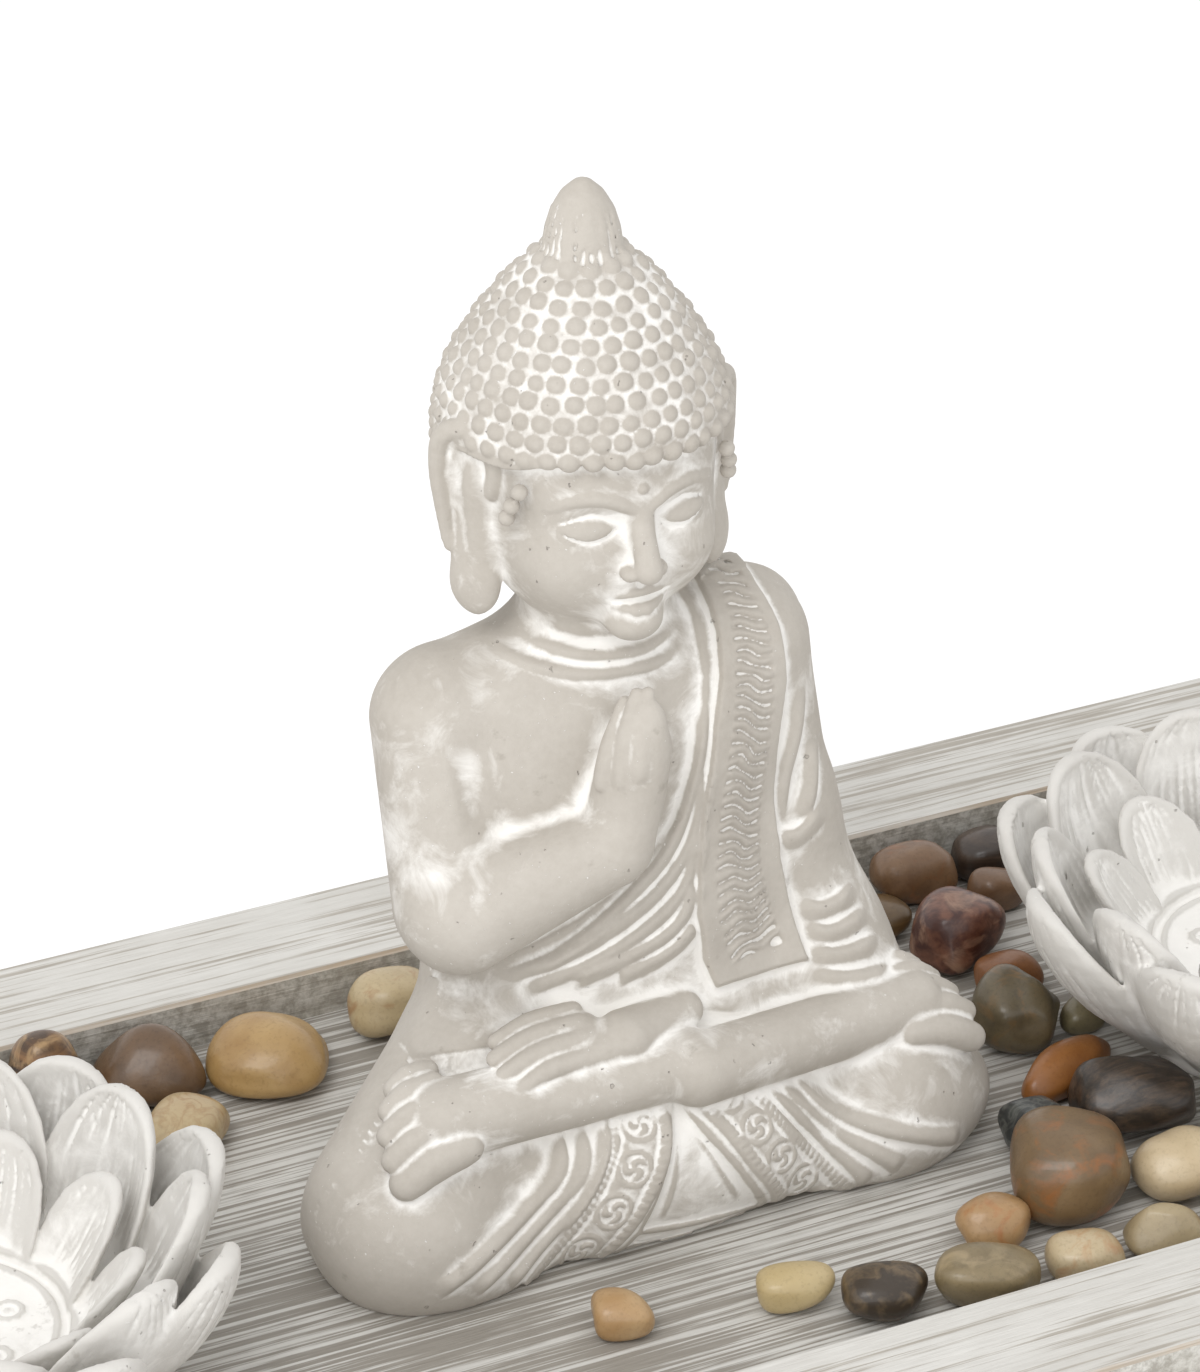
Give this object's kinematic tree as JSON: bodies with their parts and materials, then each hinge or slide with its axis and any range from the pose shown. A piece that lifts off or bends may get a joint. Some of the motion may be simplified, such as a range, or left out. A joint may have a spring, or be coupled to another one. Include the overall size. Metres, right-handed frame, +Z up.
{
  "type": "tabletop zen garden",
  "caption": "Whitewashed wooden tray holding a seated cement figure, two lotus tealight holders and loose polished stones.",
  "frame": {"origin": "under the middle of the tray, on the surface its felt pads stand on", "axes": "+X along the tray, +Z up, -Y towards the figure's front"},
  "size_m": [0.384, 0.18, 0.184],
  "materials": {
    "whitewashed_wood": "whitewashed, brushed grain",
    "bright_steel": "bright",
    "felt": "matte felt",
    "washed_cement": "cast cement with a white wash",
    "stone_brown": "polished",
    "stone_dark": "polished",
    "stone_amber": "polished",
    "stone_cream": "polished",
    "stone_olive": "polished",
    "stone_red": "polished"
  },
  "bodies": {
    "tray": {"base_panel": "whitewashed_wood", "rim_back": "whitewashed_wood", "rim_front": "whitewashed_wood", "rim_left": "whitewashed_wood", "rim_right": "whitewashed_wood", "rim_brads": "bright_steel", "tray_pads": "felt", "stone_12": "stone_brown", "stone_13": "stone_olive", "stone_14": "stone_olive", "stone_15": "stone_amber", "stone_16": "stone_dark", "stone_20": "stone_red"},
    "figure": {"figure": "washed_cement"},
    "lotus_left": {"lotus_left": "washed_cement", "petals_left": "washed_cement"},
    "lotus_right": {"lotus_right": "washed_cement", "petals_right": "washed_cement"},
    "stone_01": {"stone_01": "stone_brown"},
    "stone_02": {"stone_02": "stone_dark"},
    "stone_03": {"stone_03": "stone_brown"},
    "stone_04": {"stone_04": "stone_amber"},
    "stone_05": {"stone_05": "stone_cream"},
    "stone_06": {"stone_06": "stone_cream"},
    "stone_07": {"stone_07": "stone_olive"},
    "stone_08": {"stone_08": "stone_brown"},
    "stone_09": {"stone_09": "stone_dark"},
    "stone_10": {"stone_10": "stone_brown"},
    "stone_11": {"stone_11": "stone_red"},
    "stone_17": {"stone_17": "stone_dark"},
    "stone_18": {"stone_18": "stone_brown"},
    "stone_19": {"stone_19": "stone_cream"},
    "stone_21": {"stone_21": "stone_amber"},
    "stone_22": {"stone_22": "stone_olive"},
    "stone_23": {"stone_23": "stone_cream"},
    "stone_24": {"stone_24": "stone_cream"},
    "stone_25": {"stone_25": "stone_amber"},
    "stone_26": {"stone_26": "stone_dark"},
    "stone_27": {"stone_27": "stone_amber"},
    "stone_28": {"stone_28": "stone_cream"},
    "stone_29": {"stone_29": "stone_brown"},
    "stone_30": {"stone_30": "stone_cream"},
    "stone_31": {"stone_31": "stone_dark"},
    "stone_32": {"stone_32": "stone_brown"},
    "stone_33": {"stone_33": "stone_dark"},
    "stone_34": {"stone_34": "stone_brown"},
    "stone_35": {"stone_35": "stone_cream"},
    "stone_36": {"stone_36": "stone_olive"},
    "stone_37": {"stone_37": "stone_cream"},
    "stone_38": {"stone_38": "stone_red"},
    "stone_39": {"stone_39": "stone_brown"},
    "stone_40": {"stone_40": "stone_cream"}
  },
  "joints": [
    {"name": "figure_lift", "type": "slide", "parent": "tray", "child": "figure", "axis": [0, 0, 1], "range_m": [0, 0.06]},
    {"name": "lotus_left_lift", "type": "slide", "parent": "tray", "child": "lotus_left", "axis": [0, 0, 1], "range_m": [0, 0.06]},
    {"name": "lotus_right_lift", "type": "slide", "parent": "tray", "child": "lotus_right", "axis": [0, 0, 1], "range_m": [0, 0.06]},
    {"name": "stone_01_lift", "type": "slide", "parent": "tray", "child": "stone_01", "axis": [0, 0, 1], "range_m": [0, 0.06]},
    {"name": "stone_02_lift", "type": "slide", "parent": "tray", "child": "stone_02", "axis": [0, 0, 1], "range_m": [0, 0.06]},
    {"name": "stone_03_lift", "type": "slide", "parent": "tray", "child": "stone_03", "axis": [0, 0, 1], "range_m": [0, 0.06]},
    {"name": "stone_04_lift", "type": "slide", "parent": "tray", "child": "stone_04", "axis": [0, 0, 1], "range_m": [0, 0.06]},
    {"name": "stone_05_lift", "type": "slide", "parent": "tray", "child": "stone_05", "axis": [0, 0, 1], "range_m": [0, 0.06]},
    {"name": "stone_06_lift", "type": "slide", "parent": "tray", "child": "stone_06", "axis": [0, 0, 1], "range_m": [0, 0.06]},
    {"name": "stone_07_lift", "type": "slide", "parent": "tray", "child": "stone_07", "axis": [0, 0, 1], "range_m": [0, 0.06]},
    {"name": "stone_08_lift", "type": "slide", "parent": "tray", "child": "stone_08", "axis": [0, 0, 1], "range_m": [0, 0.06]},
    {"name": "stone_09_lift", "type": "slide", "parent": "tray", "child": "stone_09", "axis": [0, 0, 1], "range_m": [0, 0.06]},
    {"name": "stone_10_lift", "type": "slide", "parent": "tray", "child": "stone_10", "axis": [0, 0, 1], "range_m": [0, 0.06]},
    {"name": "stone_11_lift", "type": "slide", "parent": "tray", "child": "stone_11", "axis": [0, 0, 1], "range_m": [0, 0.06]},
    {"name": "stone_17_lift", "type": "slide", "parent": "tray", "child": "stone_17", "axis": [0, 0, 1], "range_m": [0, 0.06]},
    {"name": "stone_18_lift", "type": "slide", "parent": "tray", "child": "stone_18", "axis": [0, 0, 1], "range_m": [0, 0.06]},
    {"name": "stone_19_lift", "type": "slide", "parent": "tray", "child": "stone_19", "axis": [0, 0, 1], "range_m": [0, 0.06]},
    {"name": "stone_21_lift", "type": "slide", "parent": "tray", "child": "stone_21", "axis": [0, 0, 1], "range_m": [0, 0.06]},
    {"name": "stone_22_lift", "type": "slide", "parent": "tray", "child": "stone_22", "axis": [0, 0, 1], "range_m": [0, 0.06]},
    {"name": "stone_23_lift", "type": "slide", "parent": "tray", "child": "stone_23", "axis": [0, 0, 1], "range_m": [0, 0.06]},
    {"name": "stone_24_lift", "type": "slide", "parent": "tray", "child": "stone_24", "axis": [0, 0, 1], "range_m": [0, 0.06]},
    {"name": "stone_25_lift", "type": "slide", "parent": "tray", "child": "stone_25", "axis": [0, 0, 1], "range_m": [0, 0.06]},
    {"name": "stone_26_lift", "type": "slide", "parent": "tray", "child": "stone_26", "axis": [0, 0, 1], "range_m": [0, 0.06]},
    {"name": "stone_27_lift", "type": "slide", "parent": "tray", "child": "stone_27", "axis": [0, 0, 1], "range_m": [0, 0.06]},
    {"name": "stone_28_lift", "type": "slide", "parent": "tray", "child": "stone_28", "axis": [0, 0, 1], "range_m": [0, 0.06]},
    {"name": "stone_29_lift", "type": "slide", "parent": "tray", "child": "stone_29", "axis": [0, 0, 1], "range_m": [0, 0.06]},
    {"name": "stone_30_lift", "type": "slide", "parent": "tray", "child": "stone_30", "axis": [0, 0, 1], "range_m": [0, 0.06]},
    {"name": "stone_31_lift", "type": "slide", "parent": "tray", "child": "stone_31", "axis": [0, 0, 1], "range_m": [0, 0.06]},
    {"name": "stone_32_lift", "type": "slide", "parent": "tray", "child": "stone_32", "axis": [0, 0, 1], "range_m": [0, 0.06]},
    {"name": "stone_33_lift", "type": "slide", "parent": "tray", "child": "stone_33", "axis": [0, 0, 1], "range_m": [0, 0.06]},
    {"name": "stone_34_lift", "type": "slide", "parent": "tray", "child": "stone_34", "axis": [0, 0, 1], "range_m": [0, 0.06]},
    {"name": "stone_35_lift", "type": "slide", "parent": "tray", "child": "stone_35", "axis": [0, 0, 1], "range_m": [0, 0.06]},
    {"name": "stone_36_lift", "type": "slide", "parent": "tray", "child": "stone_36", "axis": [0, 0, 1], "range_m": [0, 0.06]},
    {"name": "stone_37_lift", "type": "slide", "parent": "tray", "child": "stone_37", "axis": [0, 0, 1], "range_m": [0, 0.06]},
    {"name": "stone_38_lift", "type": "slide", "parent": "tray", "child": "stone_38", "axis": [0, 0, 1], "range_m": [0, 0.06]},
    {"name": "stone_39_lift", "type": "slide", "parent": "tray", "child": "stone_39", "axis": [0, 0, 1], "range_m": [0, 0.06]},
    {"name": "stone_40_lift", "type": "slide", "parent": "tray", "child": "stone_40", "axis": [0, 0, 1], "range_m": [0, 0.06]}
  ]
}
